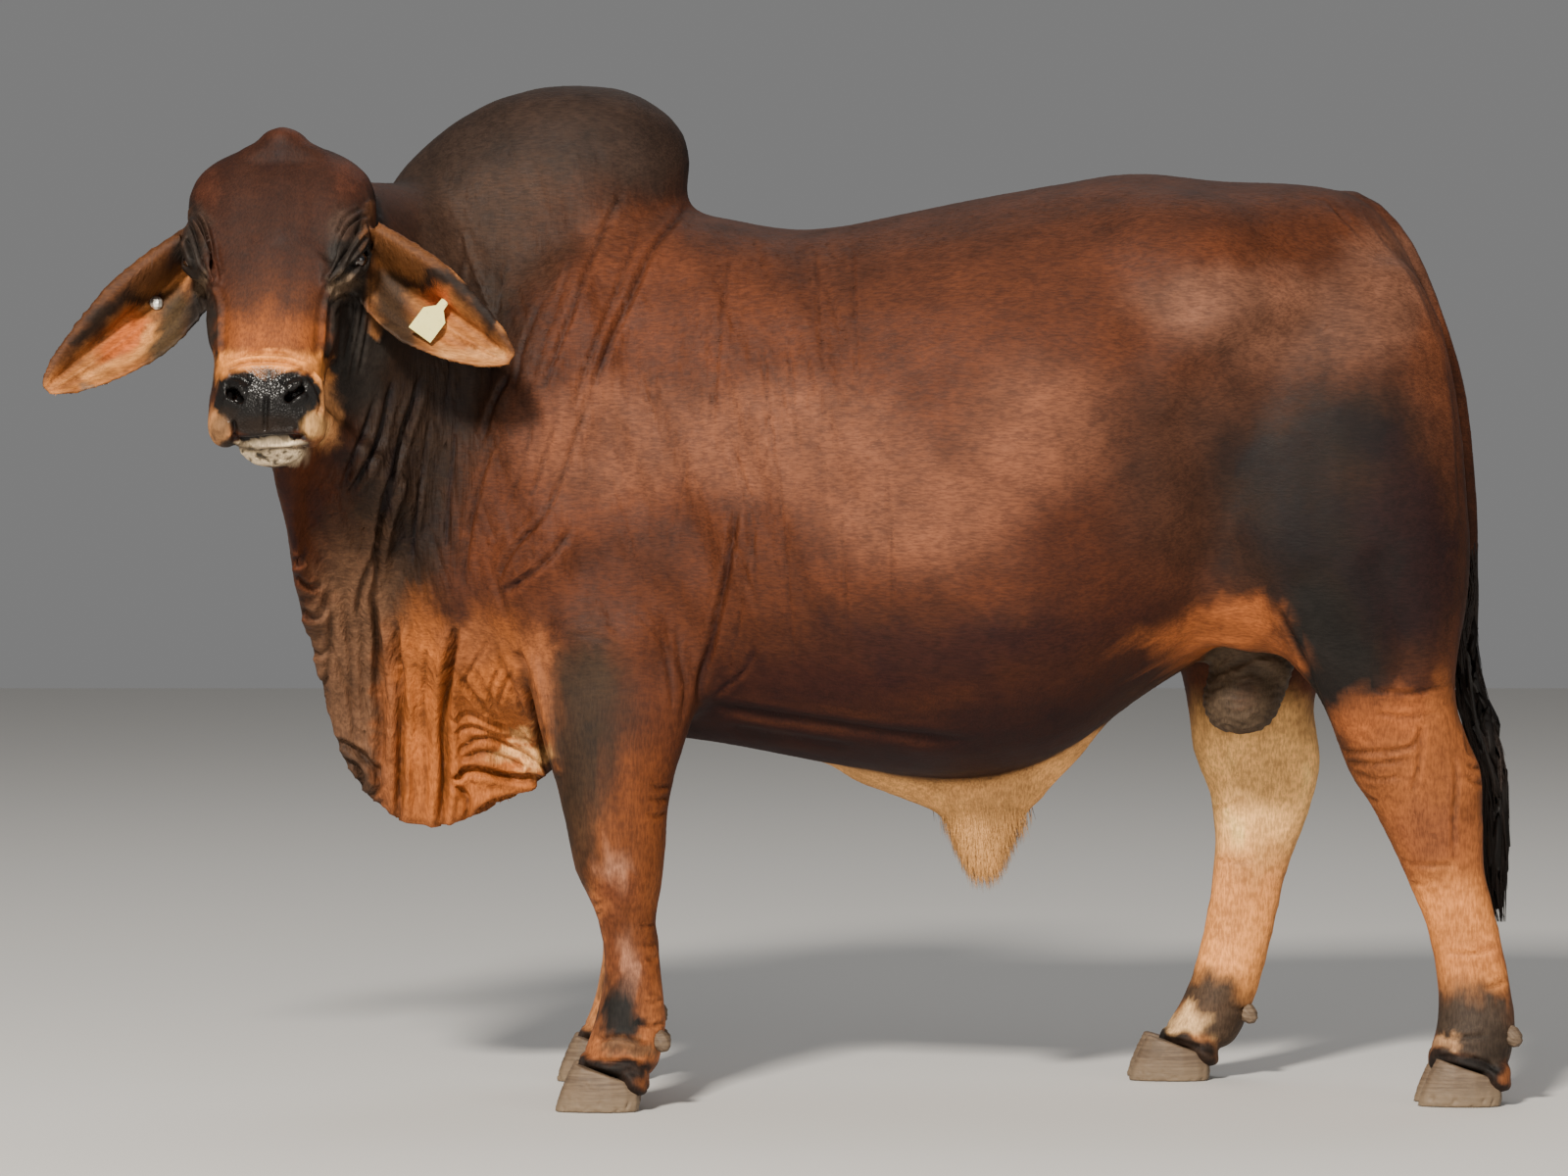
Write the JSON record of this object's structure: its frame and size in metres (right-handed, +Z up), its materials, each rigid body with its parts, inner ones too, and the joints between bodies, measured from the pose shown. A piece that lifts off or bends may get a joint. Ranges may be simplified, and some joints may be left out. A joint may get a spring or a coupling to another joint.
{
  "type": "brahman bull",
  "caption": "Life-size standing Brahman bull with a high shoulder hump, folded dewlap and long hanging ears, its head turned to its left, as a still display model.",
  "frame": {"origin": "on the floor at the middle of the whole bull's bounding box, under the belly", "axes": "+X from the bull's chest towards its tail, +Y to the bull's right side, +Z up"},
  "size_m": [2.3678, 0.921, 1.6533],
  "materials": {
    "red_coat": "short sleek red-brown coat with a soft sheen",
    "dark_coat": "short dark grey-brown coat over finely wrinkled skin",
    "tan_coat": "short light tan coat over folded skin",
    "ear_coat": "short tan coat, bare orange skin inside the cup",
    "horn": "grey-beige horn, dull",
    "eye": "dark wet eye",
    "nose": "bare black skin, wet and grained",
    "switch": "long black hair in locks",
    "grey_skin": "grey wrinkled skin",
    "tag": "pale yellow plastic",
    "stud": "dull pale metal"
  },
  "bodies": {
    "root": {"dewclaw_fore_left_inner": "horn", "dewclaw_fore_left_outer": "horn", "dewclaw_fore_right_inner": "horn", "dewclaw_fore_right_outer": "horn", "dewclaw_hind_left_inner": "horn", "dewclaw_hind_left_outer": "horn", "dewclaw_hind_right_inner": "horn", "dewclaw_hind_right_outer": "horn", "dewlap": "tan_coat", "ear_left": "ear_coat", "ear_right": "ear_coat", "ear_stud": "stud", "ear_tag": "tag", "eye_left": "eye", "eye_right": "eye", "foreleg_left": "red_coat", "foreleg_right": "red_coat", "head": "red_coat", "hindleg_left": "red_coat", "hindleg_right": "red_coat", "hoof_fore_left_inner": "horn", "hoof_fore_left_outer": "horn", "hoof_fore_right_inner": "horn", "hoof_fore_right_outer": "horn", "hoof_hind_left_inner": "horn", "hoof_hind_left_outer": "horn", "hoof_hind_right_inner": "horn", "hoof_hind_right_outer": "horn", "hump": "dark_coat", "neck": "dark_coat", "nose_pad": "nose", "scrotum": "grey_skin", "sheath": "tan_coat", "tail": "red_coat", "tail_switch": "switch", "torso": "red_coat"}
  },
  "joints": []
}
